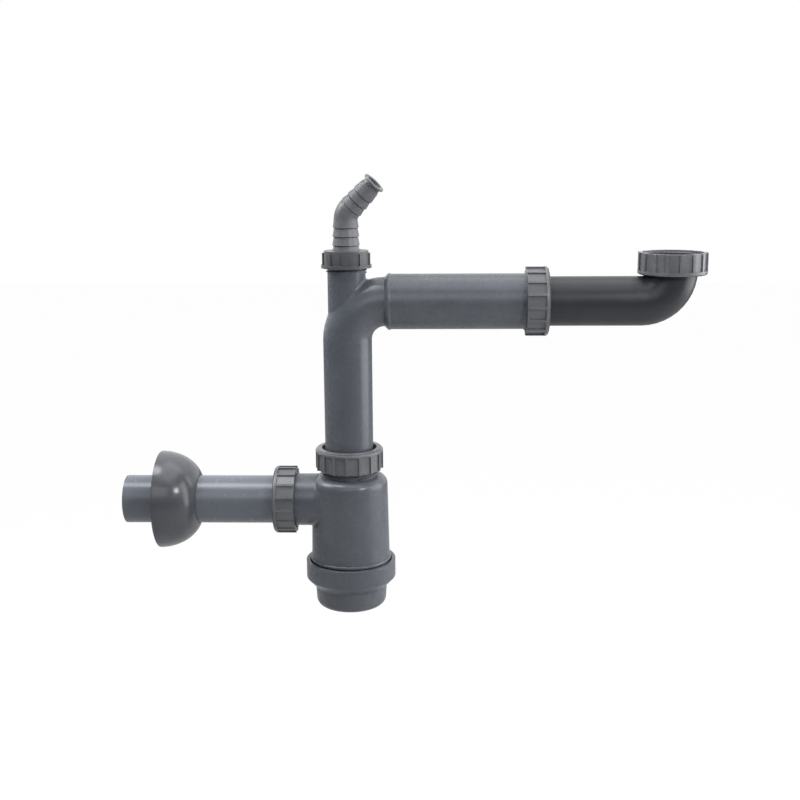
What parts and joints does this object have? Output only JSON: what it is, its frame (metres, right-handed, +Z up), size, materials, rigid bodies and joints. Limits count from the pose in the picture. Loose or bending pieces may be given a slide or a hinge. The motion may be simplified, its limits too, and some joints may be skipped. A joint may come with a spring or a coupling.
{
  "type": "sink bottle trap",
  "caption": "Space-saving sink bottle trap: telescopic offset arm, hose nozzle branch, adjustable drop pipe, screw-off cup, outlet pipe and wall rosette.",
  "frame": {"origin": "middle of the inlet gasket's sealing face, where the sink's waste fitting seats", "axes": "+Z up along the inlet, -X along the arm to the standpipe and the wall outlet"},
  "size_m": [0.4798, 0.0814, 0.3611],
  "materials": {
    "nut_plastic": "moulded dark grey polypropylene, satin",
    "seal_rubber": "smooth black rubber",
    "elbow_plastic": "moulded near-black grey polypropylene, satin",
    "slip_plastic": "smooth pale grey plastic",
    "body_plastic": "moulded blue-grey polypropylene, satin",
    "nozzle_plastic": "moulded grey polypropylene, satin",
    "pipe_plastic": "extruded blue-grey polypropylene, satin",
    "rosette_plastic": "glossy dark grey polypropylene"
  },
  "bodies": {
    "inlet_nut": {"union_nut": "nut_plastic", "inlet_gasket": "seal_rubber"},
    "inlet": {"inlet_elbow": "elbow_plastic"},
    "arm_seal": {"telescope_seal": "seal_rubber"},
    "standpipe": {"standpipe": "body_plastic", "arm_socket": "body_plastic"},
    "arm_slip_ring": {"telescope_slip_ring": "slip_plastic"},
    "arm_nut": {"telescope_nut": "nut_plastic"},
    "nozzle_seat": {"nozzle_gasket": "seal_rubber"},
    "nozzle": {"hose_nozzle": "nozzle_plastic"},
    "nozzle_nut": {"nozzle_nut": "nut_plastic"},
    "drop_seal": {"bottle_seal": "seal_rubber"},
    "bottle": {"bottle_body": "body_plastic", "dip_tube": "body_plastic", "outlet_seal": "seal_rubber"},
    "bottle_slip_ring": {"bottle_slip_ring": "slip_plastic"},
    "bottle_nut": {"bottle_nut": "nut_plastic"},
    "cup_seal": {"cup_seal": "seal_rubber"},
    "cup": {"cup": "body_plastic"},
    "outlet_slip_ring": {"outlet_slip_ring": "slip_plastic"},
    "outlet_nut": {"outlet_nut": "nut_plastic"},
    "outlet": {"outlet_pipe": "pipe_plastic"},
    "rosette": {"rosette": "rosette_plastic"}
  },
  "joints": [
    {"name": "inlet_swivel", "type": "hinge", "parent": "inlet_nut", "child": "inlet", "pos_m": [0, 0, 0], "axis": [0, 0, 1], "continuous": true},
    {"name": "arm_telescope", "type": "slide", "parent": "inlet", "child": "arm_seal", "axis": [1, 0, 0], "range_m": [-0.025, 0.058]},
    {"name": "arm_swivel", "type": "hinge", "parent": "arm_seal", "child": "standpipe", "pos_m": [-0.1058, 0, -0.0327], "axis": [1, 0, 0], "continuous": true},
    {"name": "arm_nut_travel", "type": "slide", "parent": "standpipe", "child": "arm_slip_ring", "axis": [1, 0, 0], "range_m": [0, 0.00944]},
    {"name": "arm_nut_turn", "type": "hinge", "parent": "arm_slip_ring", "child": "arm_nut", "pos_m": [-0.1058, 0, -0.0327], "axis": [1, 0, 0], "range_deg": [0, 1440]},
    {"name": "nozzle_nut_travel", "type": "slide", "parent": "standpipe", "child": "nozzle_seat", "axis": [0, 0, 1], "range_m": [0, 0.00713]},
    {"name": "nozzle_nut_turn", "type": "hinge", "parent": "nozzle_seat", "child": "nozzle_nut", "pos_m": [-0.262, 0, 0.0026], "axis": [0, 0, 1], "range_deg": [0, 1080]},
    {"name": "nozzle_swivel", "type": "hinge", "parent": "nozzle_seat", "child": "nozzle", "pos_m": [-0.262, 0, 0.0026], "axis": [0, 0, 1], "continuous": true},
    {"name": "bottle_height", "type": "slide", "parent": "standpipe", "child": "drop_seal", "axis": [0, 0, 1], "range_m": [-0.02, 0.06]},
    {"name": "bottle_swivel", "type": "hinge", "parent": "drop_seal", "child": "bottle", "pos_m": [-0.262, 0, -0.1635], "axis": [0, 0, 1], "continuous": true},
    {"name": "bottle_nut_travel", "type": "slide", "parent": "bottle", "child": "bottle_slip_ring", "axis": [0, 0, 1], "range_m": [0, 0.00944]},
    {"name": "bottle_nut_turn", "type": "hinge", "parent": "bottle_slip_ring", "child": "bottle_nut", "pos_m": [-0.262, 0, -0.1635], "axis": [0, 0, 1], "range_deg": [0, 1440]},
    {"name": "cup_travel", "type": "slide", "parent": "bottle", "child": "cup_seal", "axis": [0, 0, -1], "range_m": [0, 0.0098]},
    {"name": "cup_turn", "type": "hinge", "parent": "cup_seal", "child": "cup", "pos_m": [-0.262, 0, -0.1635], "axis": [0, 0, -1], "range_deg": [0, 1080]},
    {"name": "outlet_nut_travel", "type": "slide", "parent": "bottle", "child": "outlet_slip_ring", "axis": [-1, 0, 0], "range_m": [0, 0.00944]},
    {"name": "outlet_nut_turn", "type": "hinge", "parent": "outlet_slip_ring", "child": "outlet_nut", "pos_m": [-0.3182, 0, -0.2002], "axis": [-1, 0, 0], "range_deg": [0, 1440]},
    {"name": "outlet_pull", "type": "slide", "parent": "bottle", "child": "outlet", "axis": [-1, 0, 0], "range_m": [0, 0.015]},
    {"name": "rosette_slide", "type": "slide", "parent": "outlet", "child": "rosette", "axis": [1, 0, 0], "range_m": [-0.015, 0.045]}
  ],
  "couplings": [
    {"joint": "arm_nut_travel", "follows": "arm_nut_turn", "m_per_rad": 0.00036749},
    {"joint": "nozzle_nut_travel", "follows": "nozzle_nut_turn", "m_per_rad": 0.00036749},
    {"joint": "bottle_nut_travel", "follows": "bottle_nut_turn", "m_per_rad": 0.00036749},
    {"joint": "cup_travel", "follows": "cup_turn", "m_per_rad": 0.0005093},
    {"joint": "outlet_nut_travel", "follows": "outlet_nut_turn", "m_per_rad": 0.00036749}
  ]
}
